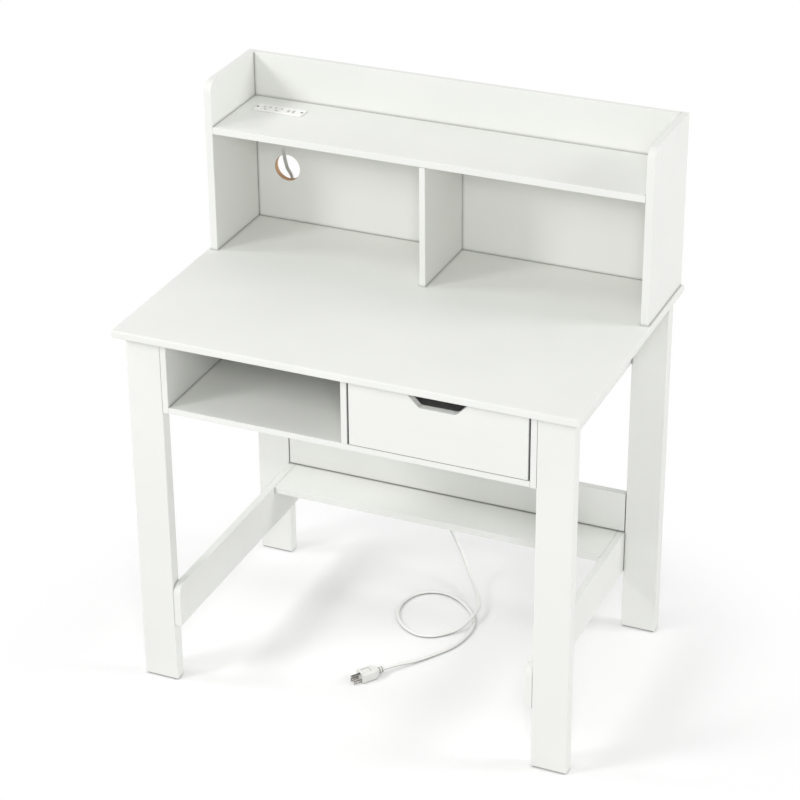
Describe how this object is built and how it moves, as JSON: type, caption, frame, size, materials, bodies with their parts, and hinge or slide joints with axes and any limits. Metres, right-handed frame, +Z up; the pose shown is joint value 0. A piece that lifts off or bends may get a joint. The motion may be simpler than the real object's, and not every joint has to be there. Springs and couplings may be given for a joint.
{
  "type": "student desk with hutch",
  "caption": "White student desk with a low bookcase hutch, an open cubby, a drawer on roller runners, a foot board, and a power strip with a trailing mains cord.",
  "frame": {"origin": "middle of the desk's footprint, on the floor", "axes": "+X to the sitter's right, +Y from the sitter to the back, +Z up"},
  "size_m": [0.9, 0.6115, 1.098],
  "materials": {
    "white_lacquer": "smooth satin white lacquer on fibreboard",
    "beech": "bare turned beech",
    "zinc": "zinc plated",
    "white_coated_steel": "powder coated",
    "white_nylon": "smooth moulded",
    "glide_plastic": "moulded",
    "strip_plastic": "fine moulded gloss",
    "cord_vinyl": "soft satin vinyl",
    "plated_brass": "nickel plated"
  },
  "bodies": {
    "desk": {"desktop": "white_lacquer", "front_left_leg": "white_lacquer", "front_right_leg": "white_lacquer", "rear_left_leg": "white_lacquer", "rear_right_leg": "white_lacquer", "left_side_panel": "white_lacquer", "right_side_panel": "white_lacquer", "left_rail": "white_lacquer", "right_rail": "white_lacquer", "box_floor": "white_lacquer", "centre_divider": "white_lacquer", "box_back": "white_lacquer", "foot_board": "white_lacquer", "back_board": "white_lacquer", "hutch_left_side": "white_lacquer", "hutch_right_side": "white_lacquer", "hutch_shelf": "white_lacquer", "hutch_back": "white_lacquer", "hutch_divider": "white_lacquer", "dowels": "beech", "cam_locks": "zinc", "cam_bolts": "zinc", "board_screws": "zinc", "channel_screws": "zinc", "plate_screws": "zinc", "back_nails": "zinc", "channel_axles": "zinc", "left_runner_channel": "white_coated_steel", "right_runner_channel": "white_coated_steel", "leg_glides": "glide_plastic", "strip_plate": "strip_plastic", "strip_housing": "strip_plastic", "outlet_faces": "strip_plastic", "usb_ports": "strip_plastic", "cord_gland": "cord_vinyl", "cord_drop": "cord_vinyl", "cord_lay": "cord_vinyl", "plug_relief": "cord_vinyl", "plug_body": "cord_vinyl", "plug_blades": "plated_brass", "plug_earth_pin": "plated_brass"},
    "drawer": {"drawer_front": "white_lacquer", "drawer_left_side": "white_lacquer", "drawer_right_side": "white_lacquer", "drawer_back": "white_lacquer", "drawer_bottom": "white_lacquer", "left_runner_angle": "white_coated_steel", "right_runner_angle": "white_coated_steel", "angle_axles": "zinc", "angle_screws": "zinc", "drawer_cam_locks": "zinc", "drawer_cam_bolts": "zinc", "drawer_dowels": "beech", "drawer_screws": "zinc"},
    "left_front_roller": {"left_front_roller": "white_nylon"},
    "right_front_roller": {"right_front_roller": "white_nylon"},
    "left_rear_roller": {"left_rear_roller": "white_nylon"},
    "right_rear_roller": {"right_rear_roller": "white_nylon"}
  },
  "joints": [
    {"name": "drawer_slide", "type": "slide", "parent": "desk", "child": "drawer", "axis": [0, -1, 0], "range_m": [0, 0.26]},
    {"name": "left_front_roller_spin", "type": "hinge", "parent": "desk", "child": "left_front_roller", "pos_m": [0.01225, -0.232, 0.6223], "axis": [1, 0, 0], "range_deg": [0, 2130]},
    {"name": "right_front_roller_spin", "type": "hinge", "parent": "desk", "child": "right_front_roller", "pos_m": [0.34775, -0.232, 0.6223], "axis": [1, 0, 0], "range_deg": [0, 2130]},
    {"name": "left_rear_roller_spin", "type": "hinge", "parent": "drawer", "child": "left_rear_roller", "pos_m": [0.01225, 0.0855, 0.6135], "axis": [1, 0, 0], "range_deg": [0, 2130]},
    {"name": "right_rear_roller_spin", "type": "hinge", "parent": "drawer", "child": "right_rear_roller", "pos_m": [0.34775, 0.0855, 0.6135], "axis": [1, 0, 0], "range_deg": [0, 2130]}
  ],
  "couplings": [
    {"joint": "left_front_roller_spin", "follows": "drawer_slide", "rad_per_m": 142.86},
    {"joint": "right_front_roller_spin", "follows": "drawer_slide", "rad_per_m": 142.86},
    {"joint": "left_rear_roller_spin", "follows": "drawer_slide", "rad_per_m": 142.86},
    {"joint": "right_rear_roller_spin", "follows": "drawer_slide", "rad_per_m": 142.86}
  ]
}
